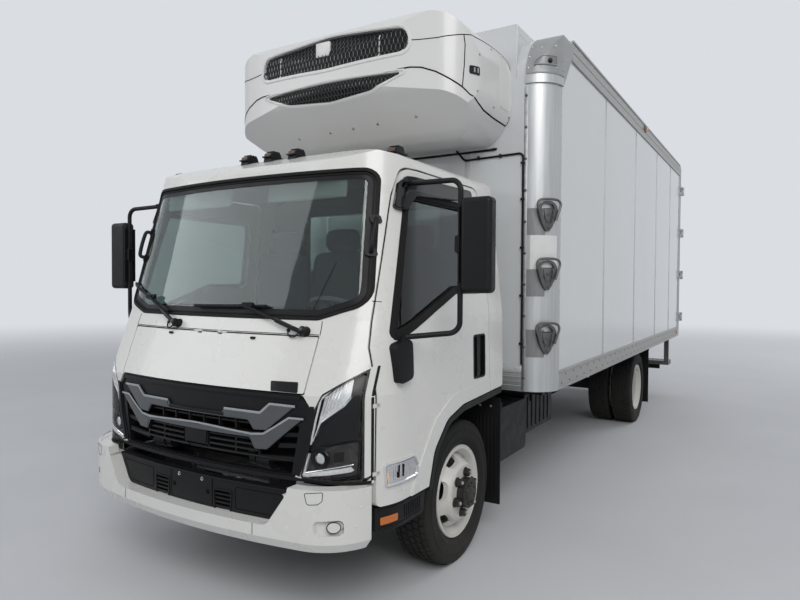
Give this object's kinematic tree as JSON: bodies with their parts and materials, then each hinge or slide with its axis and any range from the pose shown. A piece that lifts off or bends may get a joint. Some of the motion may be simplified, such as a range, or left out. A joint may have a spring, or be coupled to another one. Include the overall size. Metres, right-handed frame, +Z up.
{
  "type": "refrigerated truck",
  "caption": "Cab-over rigid truck with an insulated box body, a nose-mounted refrigeration unit, twin rear wheels and two full-height rear doors.",
  "frame": {"origin": "on the ground under the middle of the truck's length and width", "axes": "+X to the truck's left, -Y towards its front, +Z up"},
  "size_m": [2.776, 7.918, 3.325],
  "materials": {
    "white_paint": "gloss",
    "white_panel": "gloss",
    "bare_aluminium": "brushed",
    "galvanised": "satin",
    "chassis_black": "satin",
    "driveline_iron": "satin",
    "black_plastic": "matte",
    "grey_plastic": "matte",
    "clear_glass": "clear",
    "lamp_lens": "clear",
    "black_rubber": "matte",
    "tyre_rubber": "matte",
    "wheel_white": "gloss",
    "seat_cloth": "woven",
    "cast_grey": "cast"
  },
  "bodies": {
    "chassis": {"chassis_frame": "chassis_black", "front_axle": "chassis_black", "rear_axle": "chassis_black", "engine_block": "driveline_iron", "driveline": "driveline_iron", "fuel_tank": "bare_aluminium", "service_tank": "black_plastic", "battery_box": "black_plastic", "mudflaps": "black_rubber", "side_steps": "black_plastic", "front_bumper": "white_paint", "bumper_insert": "black_plastic", "rear_step": "galvanised", "box_floor": "bare_aluminium", "front_wall": "white_panel", "left_wall": "white_panel", "right_wall": "white_panel", "box_roof": "white_panel", "corner_posts": "bare_aluminium", "corner_caps": "white_panel", "box_rails": "bare_aluminium", "rear_frame": "galvanised", "unit_shell": "white_panel", "unit_belly": "white_panel", "unit_meshes": "black_plastic", "unit_spacer": "white_panel", "step_loops": "cast_grey", "wall_cable": "black_rubber"},
    "cab": {"cab_shell": "white_paint", "cab_glass": "clear_glass", "grille": "black_plastic", "headlamps": "lamp_lens", "dashboard": "grey_plastic", "seats": "seat_cloth", "roof_lamps": "lamp_lens", "arch_liners": "black_plastic", "wipers": "black_plastic"},
    "lid": {"front_lid": "white_paint"},
    "cab_door_left": {"door_left": "white_paint", "door_glass_left": "clear_glass", "mirror_left": "black_plastic"},
    "cab_door_right": {"door_right": "white_paint", "door_glass_right": "clear_glass", "mirror_right": "black_plastic"},
    "steering_left": {"knuckle_left": "chassis_black"},
    "steering_right": {"knuckle_right": "chassis_black"},
    "front_wheel_left": {"tyre_front_left": "tyre_rubber", "rim_front_left": "wheel_white"},
    "front_wheel_right": {"tyre_front_right": "tyre_rubber", "rim_front_right": "wheel_white"},
    "rear_wheels_left": {"tyres_rear_left": "tyre_rubber", "rims_rear_left": "wheel_white"},
    "rear_wheels_right": {"tyres_rear_right": "tyre_rubber", "rims_rear_right": "wheel_white"},
    "load_door_left": {"rear_door_left": "white_panel", "lock_rods_left": "galvanised"},
    "load_door_right": {"rear_door_right": "white_panel", "lock_rods_right": "galvanised"}
  },
  "joints": [
    {"name": "cab_tilt", "type": "hinge", "parent": "chassis", "child": "cab", "pos_m": [0, -3.744, 0.735], "axis": [1, 0, 0], "range_deg": [0, 45]},
    {"name": "lid_hinge", "type": "hinge", "parent": "cab", "child": "lid", "pos_m": [0, -3.7625, 1.3445], "axis": [-1, 0, 0], "range_deg": [0, 60]},
    {"name": "left_door_hinge", "type": "hinge", "parent": "cab", "child": "cab_door_left", "pos_m": [0.942, -3.639, 1], "axis": [0, 0, -1], "range_deg": [0, 70]},
    {"name": "right_door_hinge", "type": "hinge", "parent": "cab", "child": "cab_door_right", "pos_m": [-0.942, -3.639, 1], "axis": [0, 0, 1], "range_deg": [0, 70]},
    {"name": "left_steering", "type": "hinge", "parent": "chassis", "child": "steering_left", "pos_m": [0.712, -2.759, 0.405], "axis": [0, 0, 1], "range_deg": [-38, 38]},
    {"name": "right_steering", "type": "hinge", "parent": "chassis", "child": "steering_right", "pos_m": [-0.712, -2.759, 0.405], "axis": [0, 0, 1], "range_deg": [-38, 38]},
    {"name": "front_left_roll", "type": "hinge", "parent": "steering_left", "child": "front_wheel_left", "pos_m": [0.833, -2.759, 0.405], "axis": [1, 0, 0], "continuous": true},
    {"name": "front_right_roll", "type": "hinge", "parent": "steering_right", "child": "front_wheel_right", "pos_m": [-0.833, -2.759, 0.405], "axis": [1, 0, 0], "continuous": true},
    {"name": "rear_left_roll", "type": "hinge", "parent": "chassis", "child": "rear_wheels_left", "pos_m": [0.8255, 1.711, 0.405], "axis": [1, 0, 0], "continuous": true},
    {"name": "rear_right_roll", "type": "hinge", "parent": "chassis", "child": "rear_wheels_right", "pos_m": [-0.8255, 1.711, 0.405], "axis": [1, 0, 0], "continuous": true},
    {"name": "left_load_door_hinge", "type": "hinge", "parent": "chassis", "child": "load_door_left", "pos_m": [1.243, 3.878, 2], "axis": [0, 0, -1], "range_deg": [0, 270]},
    {"name": "right_load_door_hinge", "type": "hinge", "parent": "chassis", "child": "load_door_right", "pos_m": [-1.243, 3.878, 2], "axis": [0, 0, 1], "range_deg": [0, 270]}
  ],
  "couplings": [
    {"joint": "right_steering", "follows": "left_steering", "ratio": 1}
  ]
}
